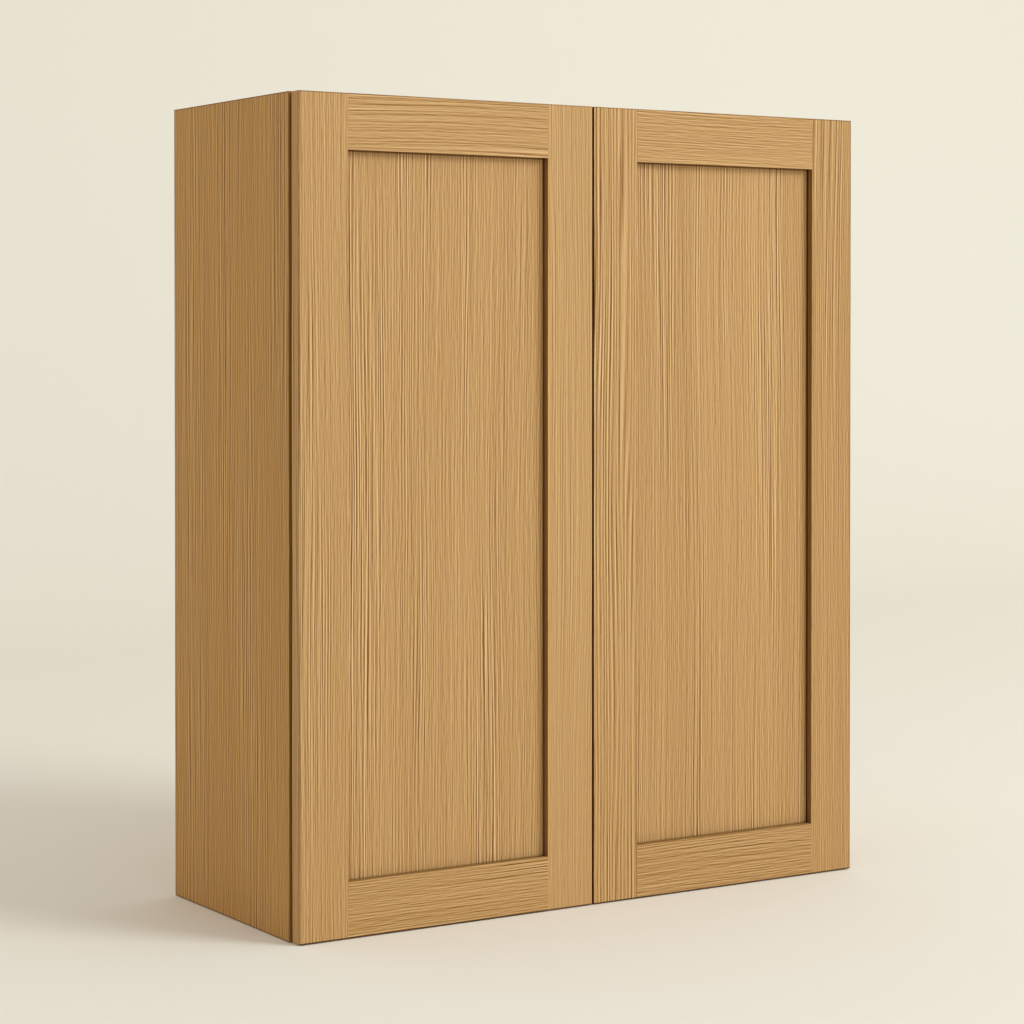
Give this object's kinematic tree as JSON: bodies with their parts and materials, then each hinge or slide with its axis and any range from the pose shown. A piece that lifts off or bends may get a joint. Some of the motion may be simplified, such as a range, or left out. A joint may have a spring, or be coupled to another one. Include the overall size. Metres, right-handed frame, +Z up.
{
  "type": "wall cabinet",
  "caption": "Hanging wall cabinet with two full-overlay frame and panel doors on concealed hinges, adjustable shelves and a screw-through hanging rail.",
  "frame": {"origin": "centre of the four wall screw holes, on the wall plane, at the middle of the width and height", "axes": "+Z up, +X to the right seen from the front, +Y into the wall; the doors face -Y"},
  "size_m": [0.762, 0.305, 0.914],
  "materials": {
    "oak_veneer": "satin clear-coated natural oak",
    "pale_wood": "plain pale wood",
    "nickel_steel": "nickel-plated pressed steel",
    "hinge_link_steel": "darker plated steel",
    "zinc": "zinc-plated",
    "clear_bumper": "clear soft bumper"
  },
  "bodies": {
    "carcass": {"left_side": "oak_veneer", "right_side": "oak_veneer", "top_board": "oak_veneer", "bottom_board": "oak_veneer", "carcass_edge_bands": "oak_veneer", "back_panel": "pale_wood", "top_hanging_rail": "pale_wood", "bottom_hanging_rail": "pale_wood", "lower_shelf": "oak_veneer", "upper_shelf": "oak_veneer", "shelf_edge_bands": "oak_veneer", "lower_shelf_pins": "nickel_steel", "upper_shelf_pins": "nickel_steel", "cam_locks": "zinc", "cam_bolts": "nickel_steel", "dowels": "pale_wood", "left_upper_arm": "nickel_steel", "left_lower_arm": "nickel_steel", "right_upper_arm": "nickel_steel", "right_lower_arm": "nickel_steel", "left_upper_plate": "nickel_steel", "left_lower_plate": "nickel_steel", "right_upper_plate": "nickel_steel", "right_lower_plate": "nickel_steel", "arm_pins": "hinge_link_steel", "plate_screws": "zinc", "arm_screws": "zinc"},
    "left_outer_links": {"left_upper_outer_link": "hinge_link_steel", "left_lower_outer_link": "hinge_link_steel"},
    "left_inner_links": {"left_upper_inner_link": "hinge_link_steel", "left_lower_inner_link": "hinge_link_steel"},
    "left_door": {"left_hinge_stile": "oak_veneer", "left_lock_stile": "oak_veneer", "left_door_top_rail": "oak_veneer", "left_door_bottom_rail": "oak_veneer", "left_centre_panel": "oak_veneer", "left_bumpers": "clear_bumper", "left_upper_cup": "nickel_steel", "left_lower_cup": "nickel_steel", "left_cup_pins": "hinge_link_steel", "left_cup_screws": "zinc"},
    "right_outer_links": {"right_upper_outer_link": "hinge_link_steel", "right_lower_outer_link": "hinge_link_steel"},
    "right_inner_links": {"right_upper_inner_link": "hinge_link_steel", "right_lower_inner_link": "hinge_link_steel"},
    "right_door": {"right_hinge_stile": "oak_veneer", "right_lock_stile": "oak_veneer", "right_door_top_rail": "oak_veneer", "right_door_bottom_rail": "oak_veneer", "right_centre_panel": "oak_veneer", "right_bumpers": "clear_bumper", "right_upper_cup": "nickel_steel", "right_lower_cup": "nickel_steel", "right_cup_pins": "hinge_link_steel", "right_cup_screws": "zinc"}
  },
  "joints": [
    {"name": "left_outer_link_turn", "type": "hinge", "parent": "carcass", "child": "left_outer_links", "pos_m": [-0.349, -0.285, 0], "axis": [0, 0, 1], "range_deg": [0, 26]},
    {"name": "left_door_swing", "type": "hinge", "parent": "left_outer_links", "child": "left_door", "pos_m": [-0.369, -0.295, 0], "axis": [0, 0, -1], "range_deg": [0, 120.65]},
    {"name": "left_inner_link_turn", "type": "hinge", "parent": "carcass", "child": "left_inner_links", "pos_m": [-0.345, -0.278, 0], "axis": [0, 0, 1], "range_deg": [0, 35]},
    {"name": "right_outer_link_turn", "type": "hinge", "parent": "carcass", "child": "right_outer_links", "pos_m": [0.349, -0.285, 0], "axis": [0, 0, -1], "range_deg": [0, 26]},
    {"name": "right_door_swing", "type": "hinge", "parent": "right_outer_links", "child": "right_door", "pos_m": [0.369, -0.295, 0], "axis": [0, 0, 1], "range_deg": [0, 120.65]},
    {"name": "right_inner_link_turn", "type": "hinge", "parent": "carcass", "child": "right_inner_links", "pos_m": [0.345, -0.278, 0], "axis": [0, 0, -1], "range_deg": [0, 35]}
  ],
  "couplings": [
    {"joint": "left_outer_link_turn", "follows": "left_door_swing", "ratio": 0.2126},
    {"joint": "left_inner_link_turn", "follows": "left_door_swing", "ratio": 0.28347},
    {"joint": "right_outer_link_turn", "follows": "right_door_swing", "ratio": 0.2126},
    {"joint": "right_inner_link_turn", "follows": "right_door_swing", "ratio": 0.28347}
  ]
}
